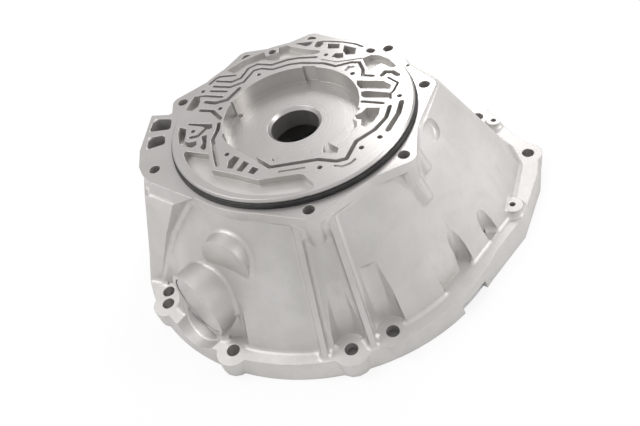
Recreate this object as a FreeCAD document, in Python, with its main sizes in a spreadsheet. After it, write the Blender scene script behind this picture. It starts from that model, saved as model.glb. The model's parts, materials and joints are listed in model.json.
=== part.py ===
import FreeCAD, Part
import math
import os
import re
import Sketcher

Vector = FreeCAD.Vector
Rotation = FreeCAD.Rotation

# Driving dimensions, in millimetres and degrees.
# Heights are counted from the engine face. The finished pieces are then lowered, so that the origin
# is the centre of the bore, and +Z points away from the engine.
SIZES = {
    "flange_height": 146,
    "flange_thickness": 11,
    "flange_radius": 131,
    "flange_step": 1.5,
    "ear_radius": 11.5,
    "ear_hole": 11,
    "ear_floor": 6,
    "pilot_height": 8.5,
    "pilot_radius": 124,
    "pilot_chamfer": 1.6,
    "ring_section": 5.3,
    "ring_groove_depth": 3.8,
    "ring_groove_width": 5.8,
    "undercut_depth": 0.6,
    "undercut_margin": 0.5,
    "ring_clearance": 0.05,
    "base_thickness": 19.5,
    "base_radius": 208,
    "base_draft": 5,
    "base_hole": 13,
    "base_lug": 16,
    "twin_lug": 15,
    "corner_lug": 14,
    "relief_height": 9.5,
    "relief_depth": 12,
    "wall": 7,
    "foot_radius": 206,
    "shoulder_radius": 127.5,
    "bowl_radius": 70,
    "bowl_depth": 18.2,
    "roof_height": 137.5,
    "dish_radius": 80,
    "bowl_web": 9,
    "bore": 50.4,
    "bore_chamfer": 3.3,
    "sleeve_wall": 9,
    "sleeve_length": 14.3,
    "channel_width": 3.6,
    "narrow_width": 2.4,
    "wide_width": 5.2,
    "channel_depth": 9,
    "shallow_depth": 2,
    "terrace_depth": 7.5,
    "recess_depth": 6.5,
    "screw_hole": 4.8,
    "screw_depth": 11,
    "rib_thickness": 5.5,
    "rib_height": 9.5,
    "port_bore": 66,
    "port_wall": 4.5,
    "port_height": 50,
    "port_reach": 186.5,
    "port_azimuth": -148.1,
    "port_offset": 22.1,
    "port_lift": 3.9,
    "port_seat": 4,
    "port_trough": 4,
    "port_shoulder": 3.5,
    "cover_thickness": 3,
    "cover_clearance": 0.3,
    "boss_radius": 26.9,
    "boss_height": 96.8,
    "boss_reach": 155.2,
    "boss_azimuth": -133.8,
    "boss_offset": 7.4,
    "boss_lift": 4.5,
    "scallop_radius": 15.5,
    "scallop_tilt": 19,
    "twin_scallop_radius": 24,
    "twin_scallop_tilt": 14.5,
    "flute_radius": 8.5,
    "flute_tilt": 10.5,
    "oval_radius": 11,
    "oval_depth": 3.5,
}

FLANGE_UNDERSIDE = "flange_height - flange_thickness"
PILOT_TOP = "flange_height + pilot_height"
BOWL_FLOOR = "flange_height + pilot_height - bowl_depth"
BORE_CENTRE = f"{BOWL_FLOOR} - (bore_chamfer + bowl_web + sleeve_length) / 2"
OVERCUT = 2

document = FreeCAD.newDocument("die_cast_housing")
sheet = document.addObject("Spreadsheet::Sheet", "sizes")
for row, (alias, number) in enumerate(SIZES.items(), start=1):
    sheet.set(f"A{row}", alias)
    sheet.set(f"B{row}", str(number))
    sheet.setAlias(f"B{row}", alias)
document.recompute()


def size(alias):
    """The number that a cell of the sheet holds."""
    return float(sheet.get(alias))


def bind(item, **formulas):
    """Tie properties of an object to cells of the sheet; a double underscore in a name is a dot."""
    for name, formula in formulas.items():
        text = re.sub(r"[a-z]+_[a-z_]+|\b(wall|bore)\b", lambda word: "sizes." + word[0], str(formula))
        item.setExpression(name.replace("__", "."), text)
    return item


def polar(azimuth, radius):
    """Plan coordinates of a point given by its direction and its distance from the bore axis."""
    angle = math.radians(azimuth)
    return radius * math.cos(angle), radius * math.sin(angle)


def cylinder(name, radius, height, x=0, y=0, z=0):
    item = document.addObject("Part::Cylinder", name)
    item.Placement.Base = Vector(float(x), float(y), 0)
    return bind(item, Radius=radius, Height=height, Placement__Base__z=z)


def round_bar(name, radius, height, x, y, z, sides=16):
    """A bar with so many flats that touch the circle of the given radius, for the features that repeat."""
    item = document.addObject("Part::Prism", name)
    item.Polygon = sides
    item.Placement.Base = Vector(float(x), float(y), 0)
    return bind(item, Circumradius=f"({radius}) / cos(180 / {sides})", Height=height, Placement__Base__z=z)


def cone(name, lower, upper, height, x=0, y=0, z=0):
    item = document.addObject("Part::Cone", name)
    item.Placement.Base = Vector(float(x), float(y), 0)
    return bind(item, Radius1=lower, Radius2=upper, Height=height, Placement__Base__z=z)


def sketch(name, points, bends=()):
    """A closed outline through the points. A side whose number is in bends is an arc about the origin."""
    item = document.addObject("Sketcher::SketchObject", name)
    count = len(points)
    starts = []
    for index in range(count):
        first = Vector(*points[index], 0)
        last = Vector(*points[(index + 1) % count], 0)
        if index in bends:
            middle = first + last
            middle.Length = (first.Length + last.Length) / 2
            item.addGeometry(Part.Arc(first, middle, last), False)
        else:
            item.addGeometry(Part.LineSegment(first, last), False)
        side = item.Geometry[index]
        forward = side.StartPoint.distanceToPoint(first) < side.EndPoint.distanceToPoint(first)
        starts.append(1 if forward else 2)
    for index in range(count):
        after = (index + 1) % count
        item.addConstraint(
            Sketcher.Constraint("Coincident", index, 3 - starts[index], after, starts[after])
        )
    return item


def prism(name, outline, height, z=0):
    """An outline raised straight up from the height z."""
    item = document.addObject("Part::Extrusion", name)
    item.Base = outline
    item.DirMode = "Custom"
    item.Dir = Vector(0, 0, 1)
    item.Solid = True
    return bind(item, LengthFwd=height, Placement__Base__z=z)


def fuse(name, items):
    item = document.addObject("Part::MultiFuse", name)
    item.Shapes = list(items)
    return item


def cut(name, base, tool):
    item = document.addObject("Part::Cut", name)
    item.Base = base
    item.Tool = tool
    return item


def crossing(first, second, z, inset):
    """The corner between two leaning planes, at a height; both are drawn in by the inset."""
    turns = [math.radians(azimuth) for azimuth, _, _ in (first, second)]
    near, far = [distance - slope * z - inset for _, distance, slope in (first, second)]
    scale = math.sin(turns[1] - turns[0])
    x = (near * math.sin(turns[1]) - far * math.sin(turns[0])) / scale
    y = (far * math.cos(turns[0]) - near * math.cos(turns[1])) / scale
    return x, y


def walls(name, planes, bottom, top, inset=0):
    """A solid with flat, leaning sides. A side has the direction in which it faces, its distance from the
    axis at the engine face, and how much nearer it comes for each unit of height."""
    count = len(planes)
    ends = [
        [Vector(*crossing(planes[index - 1], planes[index], z, inset), z) for index in range(count)]
        for z in (bottom, top)
    ]
    loops = [corners + corners[:1] for corners in ends]
    for index in range(count):
        after = (index + 1) % count
        loops.append([ends[0][index], ends[0][after], ends[1][after], ends[1][index], ends[0][index]])
    shell = Part.Shell([Part.Face(Part.makePolygon(loop)) for loop in loops])
    item = document.addObject("Part::Feature", name)
    item.Shape = Part.Solid(shell)
    if item.Shape.Volume < 0:
        item.Shape = item.Shape.reversed()
    return item


# Bell wall: a cone from the engine face to the shoulder under the gearbox flange, with two flat-sided parts
# that stand out of it. The last plane of each list lies inside the cone and closes it.
FOOT = size("foot_radius")
SHOULDER = size("shoulder_radius")
RISE = size("flange_height") - size("flange_thickness") / 2
SLOPE = (FOOT - SHOULDER) / RISE
UNDERSIDE = size("flange_height") - size("flange_thickness")
RIGHT_SIDE = [
    (-53.4, FOOT - 0.3, SLOPE),
    (-32.7, FOOT + 16.6, 0.60),
    (-5.0, FOOT + 32.0, 0.62),
    (19.5, FOOT + 14.0, 0.585),
    (40.0, FOOT - 0.3, SLOPE),
    (130.0, 0.0, 0.0),
    (-147.0, 0.0, 0.0),
]
LEFT_SIDE = [
    (-93.0, 49.6, -0.07),
    (0.0, -83.0, 0.0),
    (110.0, 144.9, 0.149),
    (161.0, 207.3, 0.344),
    (180.0, 210.5, 0.365),
    (-123.1, 142.8, 0.1827),
]
BUTTRESS = [
    (-135.3, 160.3, 0.162),
    (-92.2, 28.1, -0.2818),
    (0.0, -105.0, 0.0),
    (90.0, -36.5, 0.0),
    (180.0, 158.0, 0.0),
]
FLANGE_CORNER = [
    (-137.0, 233.5, 0.70),
    (-75.0, -190.5, -1.59),
    (0.0, -100.0, 0.0),
    (90.0, -20.0, 0.0),
    (180.0, 228.6, 0.545),
]
PIN_PAD = [
    (-153.3, 0.0, 0.0),
    (-57.0, 230.0, 0.0),
    (39.5, 0.0, 0.0),
    (123.0, -190.9, -0.2),
]
LEFT_SHELF = [
    (-110, -72), (-129.5, -54.6), (-140.7, -39), (-148.5, -32.3), (-154.4, -24.9), (-159.2, -13.3),
    (-161.5, -2), (-160, 24), (-145, 79), (-108, 62),
]


def bell(name, inset):
    """The round part of the bell and both sides that stand out, drawn in by the inset."""
    round_part = cone(name, f"foot_radius - {inset}", f"shoulder_radius - {inset}",
                      "flange_height - flange_thickness / 2")
    right_top = size("flange_height") - size("flange_step") - inset
    right_side = walls(name + "_right_side", RIGHT_SIDE, 0, right_top, inset)
    left_side = walls(name + "_left_side", LEFT_SIDE, 0, UNDERSIDE + 1 - inset, inset)
    return round_part, right_side, left_side


# Bolt lugs. An ear of the gearbox flange has a direction, a distance from the axis, the half angle of its
# web along the disc, and the length of the boss under it. A lug of the engine flange has a direction, a
# distance and a radius.
EARS = {
    "near": (-95.0, 134.2, 24, 24),
    "near_right": (-51.5, 134.2, 17, 20),
    "right": (-7.5, 134.8, 24, 26),
    "far_right": (27.0, 135.5, 22, 26),
    "far_middle": (69.0, 136.0, 22, 26),
    "far_left": (102.1, 136.0, 22, 26),
    "left_back": (142.0, 138.2, 24, 26),
    "left": (-174.7, 146.3, 30, 24),
}
BASE_LUGS = {
    "twin_upper": (-162.0, 194.4, "twin_lug"),
    "twin_lower": (-157.8, 201.2, "twin_lug"),
    "near_left": (-128.1, 202.0, "base_lug"),
    "near_one": (-94.2, 199.2, "base_lug + 1"),
    "near_two": (-82.0, 195.9, "base_lug"),
    "corner": (-7.0, 239.8, "corner_lug"),
    "right": (14.3, 220.4, "twin_lug"),
    "far_right": (46.0, 200.0, "base_lug"),
    "far_one": (84.0, 199.0, "base_lug"),
    "far_two": (104.0, 199.0, "base_lug"),
    "far_left": (142.0, 200.0, "base_lug"),
}


BASE_CORNER = [
    (-54.3, 212.3, 0.40),
    (-38.3, 226.7, 0.25),
    (-27.3, 239.5, 0.18),
    (-8.1, 257.3, 0.35),
    (19.7, 236.0, 0.55),
    (8.0, 239.0, 0.20),
    (35.0, 224.0, 0.20),
    (60.0, 172.0, 0.20),
    (180.0, -110.0, 0.0),
]


def base_flange():
    """The engine flange: a drafted disc, its corner on the right, and a drafted lug round each bolt."""
    pieces = [
        cone("base_disc", "base_radius + base_draft", "base_radius", "base_thickness"),
        walls("base_corner", BASE_CORNER, 0, size("base_thickness")),
    ]
    for place, (azimuth, distance, lug) in BASE_LUGS.items():
        x, y = polar(azimuth, distance)
        sides = 10 if place.startswith("far") else 16
        pieces.append(round_bar(f"base_lug_{place}", f"{lug} + 1", "base_thickness", x, y, 0, sides))
    return pieces


def tangent_point(origin, centre, radius, side):
    """Where the line from a point outside a circle touches it, on the given side."""
    gap = math.dist(origin, centre)
    heading = math.atan2(centre[1] - origin[1], centre[0] - origin[0])
    swing = heading + side * math.asin(radius / gap)
    reach = math.sqrt(gap * gap - radius * radius)
    return origin[0] + reach * math.cos(swing), origin[1] + reach * math.sin(swing)


def ear(place, azimuth, distance, spread, boss):
    """An ear of the gearbox flange: a round lug, a web with straight edges, and the boss below it."""
    disc = size("flange_radius")
    lug = size("ear_radius")
    centre = polar(azimuth, distance)
    first = polar(azimuth - spread, disc - 0.5)
    last = polar(azimuth + spread, disc - 0.5)
    outline = [
        first,
        tangent_point(first, centre, lug, -1),
        tangent_point(last, centre, lug, 1),
        last,
        polar(azimuth, disc * 0.7),
    ]
    web = sketch(f"ear_outline_{place}", outline)
    sides = 12 if place.startswith("far") else 16
    return [
        prism(f"ear_web_{place}", web, "flange_thickness", FLANGE_UNDERSIDE),
        round_bar(f"ear_{place}", "ear_radius", f"flange_thickness + {boss}", *centre,
                  f"{FLANGE_UNDERSIDE} - {boss}", sides),
    ]


def upright(name, azimuth, profile, thickness):
    """A plate that stands on edge in the plane of the bore axis; its profile is radius and height."""
    outline = sketch(name + "_profile", profile)
    x, y = polar(azimuth, 1)
    outline.Placement.Rotation = Rotation(Vector(x, y, 0), Vector(0, 0, 1), Vector(y, -x, 0), "XYZ")
    item = document.addObject("Part::Extrusion", name)
    item.Base = outline
    item.DirMode = "Normal"
    item.Symmetric = True
    item.Solid = True
    return bind(item, LengthFwd=thickness)


def wall_radius(z):
    """Distance from the axis to the round part of the bell wall at a height."""
    return FOOT - SLOPE * z


def rib(name, azimuth):
    """A tapering rib that runs down the bell from the gearbox flange to the engine flange."""
    under = UNDERSIDE + 1
    floor = size("base_thickness") - 1
    proud = size("rib_height")
    profile = [
        (wall_radius(under) - 8, under),
        (wall_radius(under) + proud, under),
        (wall_radius(floor) + proud, floor),
        (wall_radius(floor) - 8, floor),
    ]
    return upright(name, azimuth, profile, "rib_thickness")


def sideways(name, side, radius, inner, height, lowered="0", sides=0):
    """A cylinder, or a bar with flats, along one of the side axes, from a distance past its mouth plane."""
    azimuth = size(side + "_azimuth")
    lift = math.radians(size(side + "_lift"))
    level = Vector(*polar(azimuth, 1), 0)
    aside = Vector(*polar(azimuth + 90, 1), 0)
    ahead = level * math.cos(lift) + Vector(0, 0, math.sin(lift))
    place = level * size(side + "_reach") + aside * size(side + "_offset")
    item = round_bar(name, radius, height, 0, 0, 0, sides) if sides else cylinder(name, radius, height)
    item.Placement.Rotation = Rotation(Vector(0, 0, 1), ahead)
    return bind(
        item,
        Placement__Base__x=f"{place.x:.4f} + ({inner}) * {ahead.x:.5f}",
        Placement__Base__y=f"{place.y:.4f} + ({inner}) * {ahead.y:.5f}",
        Placement__Base__z=f"{side}_height + ({inner}) * {ahead.z:.5f} - ({lowered})",
    )


def leaning(name, azimuth, distance, radius, length, tilt, z, sides=16):
    """A bar that starts at a height over a point and leans in towards the axis."""
    item = round_bar(name, radius, length, *polar(azimuth, distance), z, sides)
    across = Vector(*polar(azimuth + 90, 1), 0)
    item.Placement.Rotation = Rotation(across, -tilt) * Rotation(Vector(0, 0, 1), azimuth)
    return item


# Skin of the bell, with the scallops and the corner that clear the bolt heads over the engine flange.
RIB_DIRECTIONS = {"rib_near_left": -101.3, "rib_near_right": -88.3, "rib_far": 69.0, "rib_far_left": 102.1}
SCALLOPED = ["near_left", "near_one", "near_two", "far_right", "far_one", "far_two", "far_left"]
FLUTES = {"flute_left": (-51.5, 188), "flute_right": (-38.5, 198)}


def clearances(name, grow, sides):
    """The room over the bolts of the engine flange, as solids that are grown outwards by a length."""
    bottom = f"base_thickness - {grow}"
    places = {"twin": (-160, 207, "twin_scallop", 70)}
    for place in SCALLOPED:
        places[place] = (*BASE_LUGS[place][:2], "scallop", 70)
    for place, (azimuth, distance) in FLUTES.items():
        places[place] = (azimuth, distance, "flute", 60)
    items = [walls(f"{name}_pin", PIN_PAD, size("base_thickness") - grow, 45 + grow, -grow)]
    for place, (azimuth, distance, kind, length) in places.items():
        radius = f"{kind}_radius + {grow}"
        tilt = size(f"{kind}_tilt")
        items.append(leaning(f"{name}_{place}", azimuth, distance, radius, length, tilt, bottom, sides))
    return fuse(name, items)


round_part, right_side, left_side = bell("bell", 0)
skin = [round_part, right_side]
skin.extend(rib(name, azimuth) for name, azimuth in RIB_DIRECTIONS.items())
carved = cut("carved_skin", fuse("skin", skin), clearances("bolt_room", 0, 12))

# Outside of the casting.
solids = base_flange()
solids.extend([carved, left_side])
solids.append(cylinder("flange_disc", "flange_radius", "flange_thickness", z=FLANGE_UNDERSIDE))
solids.append(cylinder("pilot", "pilot_radius", "pilot_height", z="flange_height"))
for place, values in EARS.items():
    solids.extend(ear(place, *values))
shelf_outline = sketch("left_shelf_outline", LEFT_SHELF)
solids.append(prism("left_shelf", shelf_outline, "flange_thickness", FLANGE_UNDERSIDE))
solids.append(walls("left_buttress", BUTTRESS, 91, UNDERSIDE + 1))
solids.append(walls("flange_corner", FLANGE_CORNER, UNDERSIDE, size("flange_height")))
solids.append(sideways("port_boss", "port", "port_bore / 2 + port_wall", "-60", "60"))
solids.append(sideways("round_boss", "boss", "boss_radius", "-50", "50"))
solids.append(leaning("near_boss_tail", -94.6, 148, 8.5, 34, 24, 84))
solids.append(leaning("near_right_boss_tail", -51, 147, 10.5, 36, 27, 92))
solids.append(leaning("near_right_bulb", -44, 140, 8.5, 22, 27, 112))
solids.append(cylinder("threaded_boss", 10.5, "base_thickness + 7", *polar(-27.7, 212.5)))
solids.append(cylinder("small_boss", 8, "base_thickness + 7", *polar(8.1, 226.4)))
outside = fuse("outside", solids)

# Inside of the bell: the hollow follows the wall up to a roof, with a dish below the pump bowl.
hollow = fuse("hollow", bell("inner_bell", size("wall")))
dish = round_bar("dish", "dish_radius", "bowl_web + 12", 0, 0, f"{BOWL_FLOOR} - bowl_web", 40)
sleeve = round_bar("sleeve", "bore / 2 + sleeve_wall", "sleeve_length + bowl_web", 0, 0,
                   f"{BOWL_FLOOR} - bowl_web - sleeve_length", 28)
roof_block = cylinder("roof_block", "flange_radius + 60", "flange_height", z="roof_height")
kept = [roof_block, dish, sleeve, clearances("bolt_room_wall", 6, 6)]
for place, (azimuth, distance, _, boss) in EARS.items():
    x, y = polar(azimuth, distance)
    kept.append(
        round_bar(f"ear_core_{place}", "ear_radius", f"flange_thickness + {boss}", x, y,
                  f"{FLANGE_UNDERSIDE} - {boss}", 8)
    )
kept = fuse("kept_inside", kept)
cavity = cut("cavity", hollow, kept)
shell = cut("shell", outside, cavity)


# Channels, pockets and holes that open at the top of the pilot.
def beside(points, index, reach):
    """The point at a distance to the left of a corner of a path; a negative distance lies to the right."""
    before = points[max(index - 1, 0)]
    after = points[min(index + 1, len(points) - 1)]
    corner = points[index]
    headings = [
        math.atan2(last[1] - first[1], last[0] - first[0])
        for first, last in ((before, corner), (corner, after))
        if first != last
    ]
    turn = (headings[-1] - headings[0] + math.pi) % (2 * math.pi) - math.pi
    heading = headings[0] + turn / 2 + math.pi / 2
    length = reach / max(math.cos(turn / 2), 0.6)
    return corner[0] + length * math.cos(heading), corner[1] + length * math.sin(heading)


def nose(beyond, end, half):
    """The bevelled end of a slot, from its left side round to its right side."""
    ahead = math.atan2(end[1] - beyond[1], end[0] - beyond[0])
    return [
        (end[0] + half * math.cos(ahead + turn), end[1] + half * math.sin(ahead + turn))
        for turn in (math.pi / 2, math.pi / 6, -math.pi / 6, -math.pi / 2)
    ]


def channel(name, points, width, depth="channel_depth"):
    """A slot of constant width along a path, with bevelled ends."""
    half = width / 2
    inner = range(1, len(points) - 1)
    outline = nose(points[-2], points[-1], half)
    outline += [beside(points, index, -half) for index in reversed(inner)]
    outline += nose(points[1], points[0], half)
    outline += [beside(points, index, half) for index in inner]
    return prism(name, sketch(name + "_outline", outline), f"{depth} + {OVERCUT}", f"{PILOT_TOP} - ({depth})")


def pocket(name, points, depth="channel_depth", bends=()):
    """A flat-bottomed pocket."""
    outline = sketch(name + "_outline", points, bends)
    return prism(name, outline, f"{depth} + {OVERCUT}", f"{PILOT_TOP} - ({depth})")


def drilled(name, diameter, depth, x, y, z=PILOT_TOP, sides=0):
    """A drilled hole, down from the height z. With a number of sides, flats stand for its round wall."""
    radius, height, floor = f"({diameter}) / 2", f"{depth} + {OVERCUT}", f"{z} - ({depth})"
    if sides:
        return round_bar(name, radius, height, x, y, floor, sides)
    return cylinder(name, radius, height, x, y, floor)


CHANNEL = size("channel_width")
NARROW = size("narrow_width")
WIDE = size("wide_width")
CHANNELS = {
    "outer_trail": (CHANNEL, [
        (-66, 91), (-50, 80.5), (-40, 82), (-29, 96), (-18, 98.5), (-3, 88), (14, 88), (26, 85), (45, 75.5),
    ]),
    "inner_trail": (CHANNEL, [
        (-70.5, 83), (-53, 71.5), (-38, 73), (-24, 88.5), (-15, 87.5), (-4, 79), (15, 78), (27, 74),
        (50, 59.5), (60, 47.5), (76, 45.5), (84, 41), (84, 26), (81, 17),
    ]),
    "inner_trail_end": (CHANNEL, [(82, 16.5), (90.5, 10.5)]),
    "comb_slot_one": (CHANNEL, [(-74.3, 90.1), (-66, 96.6), (-61, 97.5), (-45, 91)]),
    "comb_slot_two": (CHANNEL, [(-74.5, 76), (-58, 66)]),
    "comb_slot_three": (CHANNEL, [(-89, 73), (-82, 70.5), (-64, 58.8)]),
    "long_trail": (CHANNEL + 0.6, [
        (91, -44), (83, -58), (68, -70), (48, -77.5), (34, -96), (25, -95), (10, -85), (-34, -74.5),
        (-57, -37), (-66, -20), (-70.5, -6),
    ]),
    "left_trail": (CHANNEL + 0.6, [(-72.5, 15), (-75, 5), (-81.5, -8), (-82, -28), (-81.5, -48)]),
    "upper_left_trail": (CHANNEL + 0.8, [(-89, 47), (-77, 39.5), (-70, 22)]),
    "hook_slot": (NARROW, [(103, 0), (109, -13), (101, -23.5), (97, -26), (95, -33)]),
    "arc_slot": (NARROW, [(58.3, 101.8), (65.3, 97.5), (79, 86.9), (89.7, 75.8), (95, 67)]),
    "thin_slot_right": (CHANNEL, [(69, -24), (86.5, -36.5)]),
    "curved_slot": (CHANNEL + 0.6, [(-103.5, 6.8), (-96, 5.5), (-87, 13)]),
    "crescent_slot": (WIDE, [(103, -43), (95, -58), (79, -76)]),
    "banana_slot": (WIDE, [(98.5, 7), (103, 10.5), (110, 6.5), (113, -1)]),
    "lower_comb_slot": (WIDE, [(-82, 59), (-72, 51.5), (-59, 50.5), (-44, 64)]),
}
THIN_GROOVES = {
    "fine_groove_far": (NARROW - 0.8, [(49, 68), (63, 54.5), (72, 51.5), (88, 46.5)]),
    "shallow_groove_near": (NARROW, [(-27, -84.5), (-4, -90)]),
    "shallow_groove_near_right": (NARROW, [(22, -100), (28, -104), (36, -103.5), (41, -100)]),
    "hub_hook": (CHANNEL, [(68, 35), (72, 38.5), (76, 36.5)]),
}
POCKETS = {
    "deep_pocket": [(-93, 76), (-87, 73), (-88, 63), (-91, 55), (-98, 51), (-105, 56)],
    "gallery_left": [
        (-113, 29), (-106.5, 23.5), (-108, 13), (-110, 4), (-106, 0), (-98, -1.5), (-98.5, -8), (-103, -10),
        (-110, -5), (-116, 5), (-115.5, 20),
    ],
    "wedge_slot": [(-104, 31.5), (-79.5, 17.5), (-80, 11), (-84, 10.5), (-90, 18.5), (-104, 28.5)],
    "forked_pocket": [(-92.5, 3), (-86.5, 3), (-88, -8), (-89.5, -18), (-92, -19.5), (-95.5, -14), (-92, -8)],
    "diagonal_pocket_one": [(-64, -42.5), (-59, -48), (-68, -60), (-73, -57), (-70, -47)],
    "diagonal_pocket_two": [(-56, -54), (-51.5, -60), (-60, -68.5), (-65, -64)],
    "diagonal_pocket_three": [(-49, -66), (-44, -72), (-50, -77), (-55, -72)],
    "near_slot": [(-19, -63), (7, -66), (6, -74.5), (-19, -69.5)],
    "long_pocket_one": [(73.5, 11.5), (97, -3), (102, -13), (99, -18.5), (73, -3), (71.5, 5)],
    "long_pocket_two": [(72, -9), (77, -9.5), (97, -24), (96, -32.5), (73, -19.5), (70.5, -15)],
    "stepped_pocket": [
        (57, -41), (64, -40), (70, -35.5), (81.5, -41.5), (78, -50), (70, -58), (62, -63), (58.5, -58),
        (61, -50), (57, -47),
    ],
    "lens_pocket": [(28.6, 115), (33, 113.9), (48.7, 107.5), (44, 102.5), (39, 102.5), (33, 110)],
    "drop_pocket": [(47.5, 98), (52, 104.5), (58.5, 102.6), (58, 97), (53, 92.5), (49, 94)],
    "square_pocket_one": [(62.5, 94), (74, 86), (71.5, 78), (60, 84.5)],
    "square_pocket_two": [(78, 80.5), (88, 68), (84, 58), (75, 62), (74, 71)],
    "kidney_pocket": [(60, 67), (65, 71.5), (73, 67), (71, 58.5), (66, 60)],
}
SCREW_HOLES = [
    (-19.8, 77.8), (-83, 80), (-68.3, 39.3), (55.5, 74), (72.5, 25.5), (104, -33.5), (61.5, -33),
    (69.5, -82), (50.3, -88), (9, -96), (-27.8, -66), (-70.5, -37), (-100, 15.5),
]

cutters = []
for name, (width, points) in CHANNELS.items():
    cutters.append(channel(name, points, width))
for name, (width, points) in THIN_GROOVES.items():
    cutters.append(channel(name, points, width, "shallow_depth"))
for name, points in POCKETS.items():
    cutters.append(pocket(name, points))
for index, (x, y) in enumerate(SCREW_HOLES, start=1):
    cutters.append(drilled(f"screw_hole_{index}", "screw_hole", "screw_depth", x, y, sides=8))

# Terrace: the low crescent on the near left of the pilot, inside its rim.
terrace_outline = [
    polar(-172.5, 113.5), polar(-150, 115), polar(-125, 117), polar(-91, 119),
    (-1, -112), (-7, -98), (-11, -95.5), (-40, -88), (-47, -87), (-70, -66), (-88, -52), (-88, -28),
    (-110, -12.5),
]
cutters.append(pocket("terrace", terrace_outline, "terrace_depth", bends=(0, 1, 2)))

# Far recess: a sunk floor along the far rim, round the boss of the far screw.
recess_outline = [
    polar(116.5, 117.5), polar(107, 118.6), polar(98, 118.3), (-7, 118), (-7, 108), (8, 108), (10, 117.5),
    (20, 116.5),
    (23, 112), (40, 95), (50, 87), (51, 82), (44, 82.5), (25, 90), (2, 94), (-12, 103.5), (-31, 102.5),
    (-40, 96), (-46, 96), (-52, 104),
]
cutters.append(pocket("far_recess", recess_outline, "recess_depth"))
right_recess_outline = [
    (89, 46), (99, 47), (107, 41), (113, 30), (116, 14), (111, 14), (104, 27), (97, 26), (90, 20), (88.5, 30),
]
cutters.append(pocket("right_recess", right_recess_outline, "recess_depth"))
oval_width = size("screw_hole") * 1.6
cutters.append(channel("far_oval_hole", [(99.5, 56.5), (101.5, 53.5)], oval_width, "channel_depth + 12"))
cutters.append(drilled("far_boss_hole", "ear_hole * 0.8", "channel_depth + 12", 1.5, 113, sides=12))

# Pump bowl and bore.
cutters.append(cylinder("bowl", "bowl_radius", f"bowl_depth + {OVERCUT}", z=BOWL_FLOOR))
cutters.append(cylinder("bore", "bore / 2", "flange_height", z="flange_height / 2"))
cutters.append(
    cone("bore_chamfer", "bore / 2", "bore / 2 + bore_chamfer", "bore_chamfer",
         z=f"{BOWL_FLOOR} - bore_chamfer")
)
cutters.append(
    prism("bowl_keyway", sketch("bowl_keyway_outline", [(27, 60), (27, 67.5), (40, 60.5), (40, 53)]),
          f"bowl_depth + {OVERCUT}", BOWL_FLOOR)
)
bowl_notch = sketch("bowl_notch_outline", [(45, -45), (50, -39), (56, -50), (54, -58), (46, -64)])
cutters.append(prism("bowl_notch", bowl_notch, f"bowl_depth + {OVERCUT}", BOWL_FLOOR))
cutters.append(pocket("bowl_corner", [(22, -60), (24, -67), (31, -79), (28, -85), (16, -78)]))
cutters.append(channel("bowl_slot", [(-52, 41), (-56, 44)], NARROW, "bowl_depth"))
cutters.append(cylinder("bowl_oil_hole", 3.6, "bowl_depth / 2 + 3", -52.5, 41,
                        f"{BOWL_FLOOR} - 3"))

# Groove of the sealing ring at the foot of the pilot. It runs out into an undercut of the flange face,
# so that the ring stays clear of what is bolted to the face.
GROOVE_BOTTOM = "flange_height - undercut_depth"
RING_INNER = "pilot_radius - ring_groove_depth + ring_clearance"
RING_SIDES = 54
groove_blank = cylinder("groove_blank", f"{RING_INNER} + ring_section + undercut_margin", "ring_groove_width",
                        z=GROOVE_BOTTOM)
groove_core = round_bar("groove_core", "pilot_radius - ring_groove_depth", "ring_groove_width", 0, 0,
                        GROOVE_BOTTOM, RING_SIDES)
cutters.append(cut("ring_groove", groove_blank, groove_core))
chamfer_blank = cylinder("chamfer_blank", "pilot_radius + 5", "pilot_chamfer + 1",
                         z=f"{PILOT_TOP} - pilot_chamfer")
chamfer_core = cone("chamfer_core", "pilot_radius", "pilot_radius - pilot_chamfer - 1", "pilot_chamfer + 1",
                    z=f"{PILOT_TOP} - pilot_chamfer")
cutters.append(cut("pilot_edge", chamfer_blank, chamfer_core))

# Bolt holes of both flanges, and room above the engine flange for the bolt heads.
for place, (azimuth, distance, _, boss) in EARS.items():
    depth = f"flange_thickness + {boss} - ear_floor"
    x, y = polar(azimuth, distance)
    cutters.append(drilled(f"ear_hole_{place}", "ear_hole", depth, x, y, "flange_height"))
for place, (azimuth, distance, _) in BASE_LUGS.items():
    hole = drilled(f"base_hole_{place}", "base_hole", "base_thickness + 5", *polar(azimuth, distance),
                   "base_thickness")
    cutters.append(hole)
for name, (x, y) in {"threaded_boss_hole": polar(-27.7, 212.5), "small_boss_hole": polar(8.1, 226.4)}.items():
    cutters.append(drilled(name, "screw_hole + 1.2", "14", x, y, "base_thickness + 7"))
x, y = polar(-63.2, 189)
cutters.append(drilled("pin_hole", "screw_hole", "base_thickness + 5", x, y, "base_thickness", 8))
cutters.append(drilled("ear_pin_hole", "4", "8", 129.5, 21, "flange_height", 8))
cutters.append(leaning("oval_recess", -31, 138.5, "oval_radius", 30, -59, 133))

# Side port: the seat for its cover, the hole through the wall, and the trough in front of its mouth.
cutters.append(sideways("port_seat_bore", "port", "port_bore / 2", "-port_seat", "40"))
cutters.append(sideways("port_hole", "port", "port_bore / 2 - port_shoulder", "-70", "80"))
cutters.append(sideways("port_trough", "port", "port_bore / 2 + port_wall + port_trough", "0", "50"))

# Relief under the near edge of the engine flange, and the cells of the left bracket.
flat_side = document.addObject("Part::Box", "flat_side")
flat_side.Placement.Base = Vector(-234.5, -36, -2)
bind(flat_side, Length="30", Width="120", Height="base_thickness + 4")
cutters.append(flat_side)
relief = sketch("relief_outline", [
    polar(-62, FOOT - size("relief_depth")), polar(-62, FOOT + 30), polar(-52, FOOT + 30),
    polar(-52, FOOT - size("relief_depth")),
])
cutters.append(prism("relief", relief, f"relief_height + {OVERCUT}", -OVERCUT))
for name, cell in {
    "bracket_cell_one": [(-123, 61), (-142, 71), (-149, 51), (-126, 44)],
    "bracket_cell_two": [(-150, 41), (-132, 37), (-133, 22), (-153, 22)],
}.items():
    cutters.append(prism(name, sketch(name + "_outline", cell), 22, "flange_height - 20"))

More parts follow.
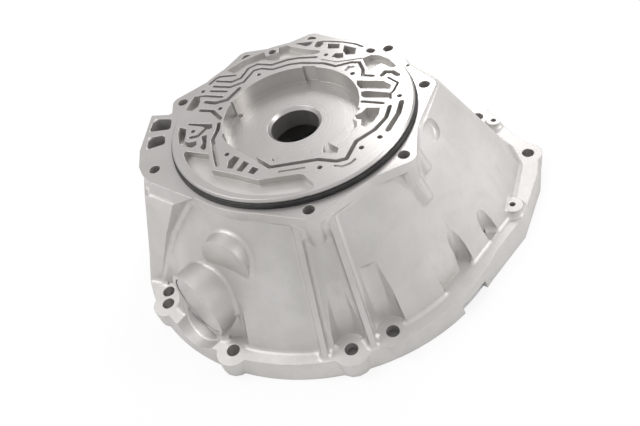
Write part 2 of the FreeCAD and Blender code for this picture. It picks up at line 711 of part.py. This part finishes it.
housing = cut("housing", shell, fuse("cutters", cutters))
bind(housing, Placement__Base__z=f"-({BORE_CENTRE})")

# Sealing ring of square section in its groove.
RING_BOTTOM = f"{GROOVE_BOTTOM} + ring_clearance - ({BORE_CENTRE})"
ring_blank = round_bar("ring_blank", f"{RING_INNER} + ring_section", "ring_section", 0, 0, RING_BOTTOM,
                       RING_SIDES)
ring_core = round_bar("ring_core", RING_INNER, f"ring_section + {2 * OVERCUT}", 0, 0,
                      f"{RING_BOTTOM} - {OVERCUT}", RING_SIDES)
sealing_ring = cut("sealing_ring", ring_blank, ring_core)

# Cover of the side port, a flat disc on the shoulder of its seat.
port_cover = sideways("port_cover", "port", "port_bore / 2 - cover_clearance", "-port_seat",
                      "cover_thickness", BORE_CENTRE, 32)

document.recompute()

faults = [item.Name for item in document.Objects if "Invalid" in item.State or "Error" in item.State]
if faults:
    raise RuntimeError("these objects did not build: " + ", ".join(faults))

os.makedirs("parts", exist_ok=True)
for node in (housing, sealing_ring, port_cover):
    shape = node.Shape
    if shape.isNull() or not shape.isValid():
        raise RuntimeError(f"{node.Name} has no valid shape")
    node.Label = node.Name
    shape.exportStep(f"parts/{node.Name}.step")
    print(node.Name, len(shape.Solids), "solid", round(shape.Volume), "mm3", len(shape.Faces), "faces")
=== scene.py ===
import json
import math

import bmesh
import bpy
import numpy as np
import openvdb
from mathutils import Matrix, Vector


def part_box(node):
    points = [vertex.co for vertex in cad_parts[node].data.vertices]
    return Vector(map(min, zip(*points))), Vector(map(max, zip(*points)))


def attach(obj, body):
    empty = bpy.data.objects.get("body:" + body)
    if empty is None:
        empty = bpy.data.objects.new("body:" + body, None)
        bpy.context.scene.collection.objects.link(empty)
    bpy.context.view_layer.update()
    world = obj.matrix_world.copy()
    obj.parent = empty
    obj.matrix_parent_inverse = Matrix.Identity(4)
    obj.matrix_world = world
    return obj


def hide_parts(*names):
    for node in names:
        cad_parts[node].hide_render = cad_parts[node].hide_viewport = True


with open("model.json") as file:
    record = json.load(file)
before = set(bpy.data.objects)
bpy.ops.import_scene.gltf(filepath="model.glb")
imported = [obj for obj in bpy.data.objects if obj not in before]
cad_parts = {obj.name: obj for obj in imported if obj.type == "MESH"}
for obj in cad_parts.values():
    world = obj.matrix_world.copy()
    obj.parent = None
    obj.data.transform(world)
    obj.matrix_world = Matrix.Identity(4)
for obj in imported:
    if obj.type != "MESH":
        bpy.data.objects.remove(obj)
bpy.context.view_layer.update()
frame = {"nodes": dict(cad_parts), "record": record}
nodes = frame["nodes"]
collection = bpy.context.scene.collection

# Heights in the row frame, metres. Its z axis is the axis of the bore.
FLOOR = -0.123
FLANGE_FACE = 0.023
PILOT_TOP = 0.0315
BOWL_FLOOR = 0.0133

# Machined faces, metres. A reach is how far from its height or radius a face still counts.
PILOT_REACH = 0.00025
FLANGE_REACH = 0.0009
FLAT_REACH = 0.0003         # floor of the bowl, and the engine face
RIM_RADIUS, RIM_REACH, RIM_FOOT = 0.1235, 0.0012, 0.0275
BOWL_RADIUS, BOWL_REACH = 0.0698, 0.0006
BORE_RADIUS, BORE_TOP = 0.0289, 0.0134

# Painted shade for the gap round the port cover: it starts at this radius, metres from the cover's
# centre.
GAP_SHADE_RADIUS = 0.0318
GAP_SHADE_FOOT = -0.014          # below this height no shade is painted in the gap

# Colours, linear.
SKIN_DARK = (0.560, 0.545, 0.527)
SKIN_LIGHT = (0.640, 0.624, 0.606)
SKIN_STAIN = (0.49, 0.475, 0.458)
SPARKLE = (0.70, 0.69, 0.675)
CUT_DARK = (0.50, 0.482, 0.468)
CUT_LIGHT = (0.58, 0.561, 0.546)
CUT_GROOVE = (0.36, 0.347, 0.335)
# painted shade for the gap round the port cover
GAP_SHADE = (0.012, 0.012, 0.012)
RUBBER = (0.012, 0.012, 0.013)
RUBBER_DUST = (0.040, 0.039, 0.038)
FLOOR_PAINT = (0.90, 0.90, 0.90)
WHITE = (1, 1, 1)


def rgba(colour, tone=1.0):
    """The colour made brighter or darker by its tone, with full alpha."""
    return tuple(part * tone for part in colour) + (1,)


# ---------------------------------------------------------------- node helpers
class Nodes:
    """Short calls to build the node tree of one material."""

    def __init__(self, name):
        self.material = bpy.data.materials.new(name)
        self.material.use_nodes = True
        self.tree = self.material.node_tree
        self.shader = self.tree.nodes["Principled BSDF"]
        self.place = self.add("ShaderNodeTexCoord").outputs["Object"]

    def add(self, kind, **settings):
        node = self.tree.nodes.new(kind)
        for key, value in settings.items():
            setattr(node, key, value)
        return node

    def plug(self, socket, value):
        if isinstance(value, bpy.types.NodeSocket):
            self.tree.links.new(value, socket)
        else:
            socket.default_value = value

    def math(self, operation, first, second=0.0, third=0.0, clamp=False):
        node = self.add("ShaderNodeMath", operation=operation, use_clamp=clamp)
        for socket, value in zip(node.inputs, (first, second, third)):
            self.plug(socket, value)
        return node.outputs[0]

    def noise(self, scale, detail=3.0, rough=0.55, place=None):
        node = self.add("ShaderNodeTexNoise")
        self.plug(node.inputs["Vector"], place or self.place)
        node.inputs["Scale"].default_value = scale
        node.inputs["Detail"].default_value = detail
        node.inputs["Roughness"].default_value = rough
        return node.outputs["Fac"]

    def span(self, value, low, high, to_low, to_high):
        """Stretches a value from one range to another, and stops it at the ends."""
        node = self.add("ShaderNodeMapRange")
        ends = {"From Min": low, "From Max": high, "To Min": to_low, "To Max": to_high}
        for key, number in ends.items():
            node.inputs[key].default_value = number
        self.plug(node.inputs["Value"], value)
        return node.outputs["Result"]

    def blend(self, factor, first, second):
        """Mixes two colours."""
        node = self.add("ShaderNodeMix", data_type="RGBA")
        self.plug(node.inputs[0], factor)
        self.plug(node.inputs[6], first)
        self.plug(node.inputs[7], second)
        return node.outputs[2]

    def mix(self, factor, first, second):
        """Mixes two numbers."""
        node = self.add("ShaderNodeMix", data_type="FLOAT")
        self.plug(node.inputs[0], factor)
        self.plug(node.inputs[2], first)
        self.plug(node.inputs[3], second)
        return node.outputs[0]

    def bump(self, height, distance, strength=1.0, normal=None):
        node = self.add("ShaderNodeBump")
        node.inputs["Distance"].default_value = distance
        self.plug(node.inputs["Strength"], strength)
        self.plug(node.inputs["Height"], height)
        if normal is not None:
            self.plug(node.inputs["Normal"], normal)
        return node.outputs["Normal"]

    def split(self, vector):
        """The three parts of a vector."""
        node = self.add("ShaderNodeSeparateXYZ")
        self.plug(node.inputs[0], vector)
        return node.outputs

    def from_axis(self, x, y):
        """The distance from the axis of the bore."""
        squares = self.math("ADD", self.math("MULTIPLY", x, x), self.math("MULTIPLY", y, y))
        return self.math("SQRT", squares)


def aluminium(name, tone=1.0, turned=True, edge=0.0009):
    """Die cast aluminium with a blasted skin, and the machined faces where turned is set."""
    made = Nodes(name)
    x, y, z = made.split(made.place)
    radius = made.from_axis(x, y)
    facing = made.split(made.add("ShaderNodeNewGeometry").outputs["True Normal"])
    level = made.math("GREATER_THAN", made.math("ABSOLUTE", facing["Z"]), 0.995)

    def near(value, target, reach):
        return made.math("COMPARE", value, target, reach)

    # Machined faces: both flange faces, the top of the pilot, its rim, the bowl and the bore.
    flats = made.math("ADD", near(z, PILOT_TOP, PILOT_REACH), near(z, FLANGE_FACE, FLANGE_REACH))
    flats = made.math("ADD", flats, near(z, BOWL_FLOOR, FLAT_REACH))
    flats = made.math("ADD", flats, near(z, FLOOR, FLAT_REACH))
    flats = made.math("MULTIPLY", flats, level)
    above_foot = made.math("GREATER_THAN", z, RIM_FOOT)
    rim = made.math("MULTIPLY", near(radius, RIM_RADIUS, RIM_REACH), above_foot)
    above_floor = made.math("GREATER_THAN", z, BOWL_FLOOR)
    bowl = made.math("MULTIPLY", near(radius, BOWL_RADIUS, BOWL_REACH), above_floor)
    below_top = made.math("LESS_THAN", z, BORE_TOP)
    bore = made.math("MULTIPLY", made.math("LESS_THAN", radius, BORE_RADIUS), below_top)
    walls = made.math("ADD", bowl, bore)
    machined = made.math("ADD", made.math("ADD", flats, rim), walls, clamp=True)
    if not turned:
        machined = made.math("MULTIPLY", machined, 0.0)

    cloud = made.noise(14.0, 4.0)
    patch = made.noise(70.0, 4.0, 0.6)
    grain = made.noise(950.0, 2.0, 0.6)
    speck = made.noise(420.0, 4.0, 0.7)
    turning = made.add("ShaderNodeTexNoise", noise_dimensions="1D")
    made.plug(turning.inputs["W"], radius)
    turning.inputs["Scale"].default_value = 420.0
    turning.inputs["Detail"].default_value = 4.0
    rings_wave = made.span(turning.outputs["Fac"], 0.3, 0.7, -1.0, 1.0)

    skin = made.blend(made.span(cloud, 0.35, 0.65, 0.0, 1.0),
                      rgba(SKIN_DARK, tone), rgba(SKIN_LIGHT, tone))
    skin = made.blend(made.span(patch, 0.5, 0.75, 0.0, 0.30), skin, rgba(SKIN_STAIN, tone))
    skin = made.blend(made.span(speck, 0.62, 0.78, 0.0, 0.35), skin, rgba(SPARKLE))
    cut = made.blend(made.span(cloud, 0.3, 0.7, 0.0, 1.0), rgba(CUT_DARK), rgba(CUT_LIGHT))
    cut = made.blend(made.span(rings_wave, -1.0, 1.0, 0.0, 0.22), cut, rgba(CUT_GROOVE))
    made.plug(made.shader.inputs["Base Color"], made.blend(machined, skin, cut))
    made.shader.inputs["Metallic"].default_value = 0.82
    rough = made.span(grain, 0.3, 0.7, 0.43, 0.56)
    smooth = made.span(rings_wave, -1.0, 1.0, 0.27, 0.35)
    made.plug(made.shader.inputs["Roughness"], made.mix(machined, rough, smooth))

    soft = made.add("ShaderNodeBevel", samples=6)
    soft.inputs["Radius"].default_value = edge
    blasted = made.math("ADD", grain, made.math("MULTIPLY", speck, 0.8))
    blasted = made.math("MULTIPLY", blasted, made.math("SUBTRACT", 1.0, machined))
    marks = made.math("MULTIPLY", made.math("MULTIPLY", rings_wave, 0.10), machined)
    normal = made.bump(made.math("ADD", blasted, marks), 0.00009, 0.55, soft.outputs["Normal"])
    wave = made.bump(patch, 0.0005, made.mix(machined, 0.35, 0.0), normal)
    made.plug(made.shader.inputs["Normal"], wave)
    return made


def painted_gap_shade(made, node):
    """Paints shade into the narrow gap round the upper side of the port cover, by darkening the
    cover's face near its edge.
    """
    low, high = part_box(node)
    centre = (low + high) / 2
    offset = made.add("ShaderNodeVectorMath", operation="SUBTRACT")
    made.plug(offset.inputs[0], made.place)
    offset.inputs[1].default_value = centre
    length = made.add("ShaderNodeVectorMath", operation="LENGTH")
    made.plug(length.inputs[0], offset.outputs[0])
    outside = made.math("GREATER_THAN", length.outputs["Value"], GAP_SHADE_RADIUS)
    upper = made.math("GREATER_THAN", made.split(offset.outputs[0])["Z"], GAP_SHADE_FOOT)
    # painted shade: the cover's face outside that radius, on its upper side, turns dark
    shaded_gap = made.math("MULTIPLY", outside, upper)
    colour = made.shader.inputs["Base Color"]
    source = colour.links[0].from_socket
    made.plug(colour, made.blend(shaded_gap, source, rgba(GAP_SHADE)))
    return made.material


def rubber(name):
    """Black rubber with a little dust on it."""
    made = Nodes(name)
    grain = made.noise(1500.0, 2.0)
    dust = made.noise(60.0, 4.0, 0.6)
    dusty = made.span(dust, 0.45, 0.75, 0.0, 1.0)
    made.plug(made.shader.inputs["Base Color"],
              made.blend(dusty, rgba(RUBBER), rgba(RUBBER_DUST)))
    made.plug(made.shader.inputs["Roughness"], made.span(grain, 0.3, 0.7, 0.36, 0.55))
    made.plug(made.shader.inputs["Normal"], made.bump(grain, 0.00004, 0.5))
    return made.material


casting = aluminium("cast_aluminium").material
cover_metal = aluminium("cover_aluminium", tone=0.97, turned=False, edge=0.0005)
# the cover gets painted shade in the gap round its upper side
cover_metal = painted_gap_shade(cover_metal, "port_cover")
ring_rubber = rubber("ring_rubber")


def paint(item, material):
    item.data.materials.clear()
    item.data.materials.append(material)


# ---------------------------------------------------------------- mesh helpers
def placed(name, data):
    """An object of that name and data, linked to the scene."""
    item = bpy.data.objects.new(name, data)
    collection.objects.link(item)
    return item


def plain_object(name, vertices, faces):
    mesh = bpy.data.meshes.new(name)
    mesh.from_pydata([tuple(v) for v in vertices], [], [tuple(f) for f in faces])
    return placed(name, mesh)


def new_piece(name, node, vertices, faces):
    """A piece that rides on the root and stands in for a node."""
    item = plain_object(name, vertices, faces)
    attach(item, "root")
    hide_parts(node)
    return item


def smoothed(item):
    item.data.polygons.foreach_set("use_smooth", [True] * len(item.data.polygons))


def merged(node, name):
    """A copy of a node's mesh with its corners joined."""
    mesh = nodes[node].data.copy()
    mesh.name = name
    work = bmesh.new()
    work.from_mesh(mesh)
    bmesh.ops.remove_doubles(work, verts=work.verts, dist=2e-6)
    bmesh.ops.triangulate(work, faces=work.faces)
    work.to_mesh(mesh)
    work.free()
    if "custom_normal" in mesh.attributes:
        mesh.attributes.remove(mesh.attributes["custom_normal"])
    return mesh


# ---------------------------------------------------------------- sealing ring
RING_STEPS = 180        # round the ring
SECTION_STEPS = 20      # round its section
SQUARENESS = 0.62       # 1 is a round section, 0 a sharp square


def swollen(part, half):
    """A sine or cosine drawn out towards the corner of a square of that half width."""
    return math.copysign(abs(part) ** SQUARENESS, part) * half


def ring_piece():
    """The sealing ring: a soft square section, swept round the axis."""
    low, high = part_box("sealing_ring")
    outer = high.x
    section = high.z - low.z
    inner = outer - section
    middle = Vector(((inner + outer) / 2, (low.z + high.z) / 2))
    half = section / 2
    profile = []
    for step in range(SECTION_STEPS):
        turn = 2 * math.pi * step / SECTION_STEPS
        u = swollen(math.cos(turn), half)
        v = swollen(math.sin(turn), half)
        profile.append((middle.x + u, middle.y + v))
    vertices, faces = [], []
    for i in range(RING_STEPS):
        turn = 2 * math.pi * i / RING_STEPS
        vertices += [(r * math.cos(turn), r * math.sin(turn), z) for r, z in profile]
        this, following = i * SECTION_STEPS, (i + 1) % RING_STEPS * SECTION_STEPS
        for j in range(SECTION_STEPS):
            beside = (j + 1) % SECTION_STEPS
            faces.append((this + j, following + j, following + beside, this + beside))
    item = new_piece("sealing_ring_rubber", "sealing_ring", vertices, faces)
    smoothed(item)
    paint(item, ring_rubber)


# ---------------------------------------------------------------- housing
# All in millimetres and degrees, with heights in the row frame.
VOXEL = 1.3
FILLET = 4.0            # radius of the casting's inner corners
BELOW = 0.2             # how deep the filled body lies under the plain faces
FAR_OFF = 50.0          # what a cell far from every kept space holds
ABOVE_ALL = 60          # a height over the whole part

# Spaces round the axis that no fillet fills: radius, bottom and top.
AXIAL_SPACES = (
    (128.0, 17.0, ABOVE_ALL),       # over the flange, round the pilot and the sealing ring
    (71.5, 12.6, ABOVE_ALL),        # the bowl
    (27.5, -14, ABOVE_ALL),         # the bore
    (30.0, 8.8, ABOVE_ALL),         # the chamfer at its top
)
# The bell's inside lies within the middle of its round wall, which leans inwards on its way up.
WALL_FOOT, WALL_LEAN, WALL_RISE = 202.5, 78.5, 135
ENGINE_DEPTH = 123      # the engine face lies this far below the row frame's origin
INSIDE_TOP = 17.5
# Bolt holes are the mounts up to a radius, and stay free a little wider, so their edges stay crisp.
WIDEST_HOLE = 10
HOLE_CLEARANCE = 0.9
HOLE_ABOVE = 20
# Holes that the record names no mount for: azimuth, distance and the radius kept free.
SMALL_HOLES = (
    (-63.2, 189.0, 3.2),            # the pin hole in the base
    (8.1, 226.4, 3.8),              # the hole of the small boss
)
SMALL_BOTTOM, SMALL_TOP = -126, -85
EAR_PIN = (129.5, 21.0, 2.8, 10, 30)    # x, y, radius, bottom and top
# The side port: distances from its axis, and along it, outwards from the middle of its cover.
PORT_RADIUS, PORT_INNER, PORT_OUTER = 33.5, -75, 2.6
TROUGH_RADIUS, TROUGH_HALF = 43.4, 2.6
TROUGH_INNER, TROUGH_OUTER = -2, 26
TROUGH_SEAT = 3         # how far the trough's wall goes past the middle of the bell's wall


def kept_open(low, shape):
    """Signed distances to the spaces that the fillets leave free, and to the trough's wall."""
    cells = np.ogrid[tuple(slice(a, a + n) for a, n in zip(low, shape))]
    x, y, z = [(axis * VOXEL).astype(np.float32) for axis in cells]
    free = np.full(shape, FAR_OFF, np.float32)

    def bar(cx, cy, radius, bottom, top):
        wall = np.hypot(x - cx, y - cy) - radius
        np.minimum(free, np.maximum(wall, np.maximum(bottom - z, z - top)), out=free)

    for radius, bottom, top in AXIAL_SPACES:
        bar(0, 0, radius, bottom, top)
    # Inside the bell the corners stay plain.
    middle_wall = WALL_FOOT - WALL_LEAN * (z + ENGINE_DEPTH) / WALL_RISE
    np.minimum(free, np.maximum(np.hypot(x, y) - middle_wall, z - INSIDE_TOP), out=free)
    for mount in frame["record"]["mounts"]:
        size = mount["dims"]
        if mount["kind"] in ("bore", "threaded_hole") and size["r_mm"] < WIDEST_HOLE:
            cx, cy, cz = [v * 1000 for v in mount["pos_m"]]
            bar(cx, cy, size["r_mm"] + HOLE_CLEARANCE, cz - size["length_mm"], cz + HOLE_ABOVE)
    for azimuth, distance, radius in SMALL_HOLES:
        turn = math.radians(azimuth)
        cx, cy = distance * math.cos(turn), distance * math.sin(turn)
        bar(cx, cy, radius, SMALL_BOTTOM, SMALL_TOP)
    bar(*EAR_PIN)

    # The port's axis is the direction in which its cover is thinnest.
    points = np.array([tuple(v.co) for v in nodes["port_cover"].data.vertices]) * 1000
    centre = (points.min(0) + points.max(0)) / 2
    axis = np.linalg.svd(points - centre)[2][2]
    axis *= np.sign(np.dot(axis[:2], centre[:2]))
    dx, dy, dz = x - centre[0], y - centre[1], z - centre[2]
    along = dx * axis[0] + dy * axis[1] + dz * axis[2]
    apart = np.sqrt(np.maximum(dx ** 2 + dy ** 2 + dz ** 2 - along ** 2, 0))
    ends = np.maximum(PORT_INNER - along, along - PORT_OUTER)
    np.minimum(free, np.maximum(apart - PORT_RADIUS, ends), out=free)
    # The wall that closes the bell under the trough in front of the port.
    ends = np.maximum(TROUGH_INNER - along, along - TROUGH_OUTER)
    trough = np.maximum(np.abs(apart - TROUGH_RADIUS) - TROUGH_HALF, ends)
    trough = np.maximum(trough, np.hypot(x, y) - middle_wall - TROUGH_SEAT)
    return free, trough


def closed_body(mesh):
    """The body with its inner corners rounded, a little under the plain faces elsewhere."""
    points = np.empty(len(mesh.vertices) * 3, np.float32)
    mesh.vertices.foreach_get("co", points)
    points = points.reshape(-1, 3) * 1000
    corners = np.empty(len(mesh.polygons) * 3, np.int32)
    mesh.polygons.foreach_get("vertices", corners)
    band = FILLET / VOXEL + 2
    scale = openvdb.createLinearTransform(voxelSize=VOXEL)
    build = openvdb.FloatGrid.createLevelSetFromPolygons
    corners = corners.reshape(-1, 3).astype(np.uint32)
    near = build(points, triangles=corners, transform=scale, halfWidth=band)
    shell, _, quads = near.convertToPolygons(isovalue=FILLET, adaptivity=0.0)
    outer = build(shell, quads=quads, transform=scale, halfWidth=band)
    margin = int(FILLET / VOXEL) + 3
    low = [int(math.floor(v / VOXEL)) - margin for v in points.min(0)]
    shape = tuple(int(math.ceil(v / VOXEL)) + margin - a for v, a in zip(points.max(0), low))
    values = np.zeros(shape, np.float32)
    outer.copyToArray(values, ijk=tuple(low))
    values += FILLET + BELOW
    free, trough = kept_open(low, shape)
    np.maximum(values, -free, out=values)
    np.minimum(values, trough, out=values)
    grid = openvdb.FloatGrid(float(values.max()))
    grid.copyFromArray(values, ijk=tuple(low))
    grid.transform = scale
    grid.gridClass = openvdb.GridClass.LEVEL_SET
    found, _, quads = grid.convertToPolygons(isovalue=0.0, adaptivity=0.0)
    return plain_object("closed_body", found / 1000, quads[:, ::-1])


def applied(item, kind, **settings):
    """Makes one modifier real in the item's mesh."""
    modifier = item.modifiers.new("step", kind)
    for key, value in settings.items():
        setattr(modifier, key, value)
    graph = bpy.context.evaluated_depsgraph_get()
    mesh = bpy.data.meshes.new_from_object(item.evaluated_get(graph))
    item.modifiers.clear()
    item.data = mesh


SHARP = math.radians(32)    # edges steeper than this stay sharp in the shading


def housing_piece():
    """The casting: the plain solid, with a fillet along each inner corner."""
    item = placed("housing_casting", merged("housing", "housing_casting"))
    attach(item, "root")
    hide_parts("housing")
    body = closed_body(item.data)
    applied(item, "BOOLEAN", operation="UNION", object=body, solver="MANIFOLD")
    bpy.data.objects.remove(body)
    applied(item, "TRIANGULATE")
    item.data.name = "housing_casting"
    smoothed(item)
    item.data.set_sharp_from_angle(angle=SHARP)
    item.modifiers.new("normals", "WEIGHTED_NORMAL").keep_sharp = True
    paint(item, casting)


ring_piece()
housing_piece()
paint(nodes["port_cover"], cover_metal)

# ---------------------------------------------------------------- stage
SPAN = 3.0                  # half the width of the floor, metres
COVERED = 0.2085            # radius within which the bell hides the floor
FLOOR_WHITE = 0.80          # share of plain white that the camera sees in the floor
WORLD_LEVEL = 0.75          # strength of the world for every ray but the camera's

corners = [(-SPAN, -SPAN, FLOOR), (SPAN, -SPAN, FLOOR), (SPAN, SPAN, FLOOR), (-SPAN, SPAN, FLOOR)]
floor = plain_object("floor", corners, [(0, 1, 2, 3)])
pale = Nodes("floor_white")
pale.shader.inputs["Base Color"].default_value = rgba(FLOOR_PAINT)
pale.shader.inputs["Roughness"].default_value = 0.9
pale.shader.inputs["Specular IOR Level"].default_value = 0.1
glow = pale.add("ShaderNodeEmission")
glow.inputs["Color"].default_value = rgba(WHITE)
path = pale.add("ShaderNodeLightPath")
share = pale.add("ShaderNodeMixShader")
spot = pale.split(pale.place)
uncovered = pale.math("GREATER_THAN", pale.from_axis(spot["X"], spot["Y"]), COVERED)
white_seen = pale.math("MULTIPLY", path.outputs["Is Camera Ray"], FLOOR_WHITE)
pale.plug(share.inputs[0], pale.math("MULTIPLY", white_seen, uncovered))
pale.plug(share.inputs[1], pale.shader.outputs[0])
pale.plug(share.inputs[2], glow.outputs[0])
pale.plug(pale.tree.nodes["Material Output"].inputs["Surface"], share.outputs[0])
paint(floor, pale.material)

world = bpy.data.worlds.new("studio")
bpy.context.scene.world = world
world.use_nodes = True
tree = world.node_tree
sky = tree.nodes["Background"]
sky.inputs["Color"].default_value = rgba(WHITE)
seen = tree.nodes.new("ShaderNodeLightPath")
strength = tree.nodes.new("ShaderNodeMapRange")
strength.inputs["To Min"].default_value = WORLD_LEVEL
strength.inputs["To Max"].default_value = 1.0
tree.links.new(seen.outputs["Is Camera Ray"], strength.inputs["Value"])
tree.links.new(strength.outputs[0], sky.inputs["Strength"])


def lamp(name, place, target, size, power):
    """A soft box at its place, in metres, turned to the target, with its power in watts."""
    light = bpy.data.lights.new(name, "AREA")
    light.shape = "RECTANGLE"
    light.size, light.size_y = size
    light.energy = power
    item = placed(name, light)
    item.location = place
    aim = Vector(target) - Vector(place)
    item.rotation_euler = aim.to_track_quat("-Z", "Y").to_euler()


lamp("key", (-0.75, 0.25, 1.25), (0, 0, 0), (0.8, 0.8), 7.5)
lamp("side", (1.3, -0.3, 0.7), (0.05, 0, -0.03), (0.5, 0.9), 6.0)
lamp("back", (0.60, 1.2, 0.95), (0.05, 0, 0), (0.7, 0.5), 6.0)

# The camera as fitted to the photograph: its place, its right, its up and its lens.
CAMERA_PLACE = Vector((-0.0033, -0.5182, 0.4075))
CAMERA_RIGHT = Vector((0.951, -0.2213, -0.2166))
CAMERA_UP = Vector((0.3095, 0.6796, 0.6652))
LENS, SENSOR = 35.676, 36.0     # millimetres

camera_data = bpy.data.cameras.new("camera")
camera = placed("camera", camera_data)
bpy.context.scene.camera = camera
camera_data.sensor_width = SENSOR
camera_data.lens = LENS
camera_data.clip_start, camera_data.clip_end = 0.02, 20.0
right = CAMERA_RIGHT.normalized()
back = right.cross(CAMERA_UP).normalized()
pose = Matrix((right, back.cross(right), back)).transposed().to_4x4()
pose.translation = CAMERA_PLACE
camera.matrix_world = pose
bpy.context.scene.view_settings.view_transform = "Standard"
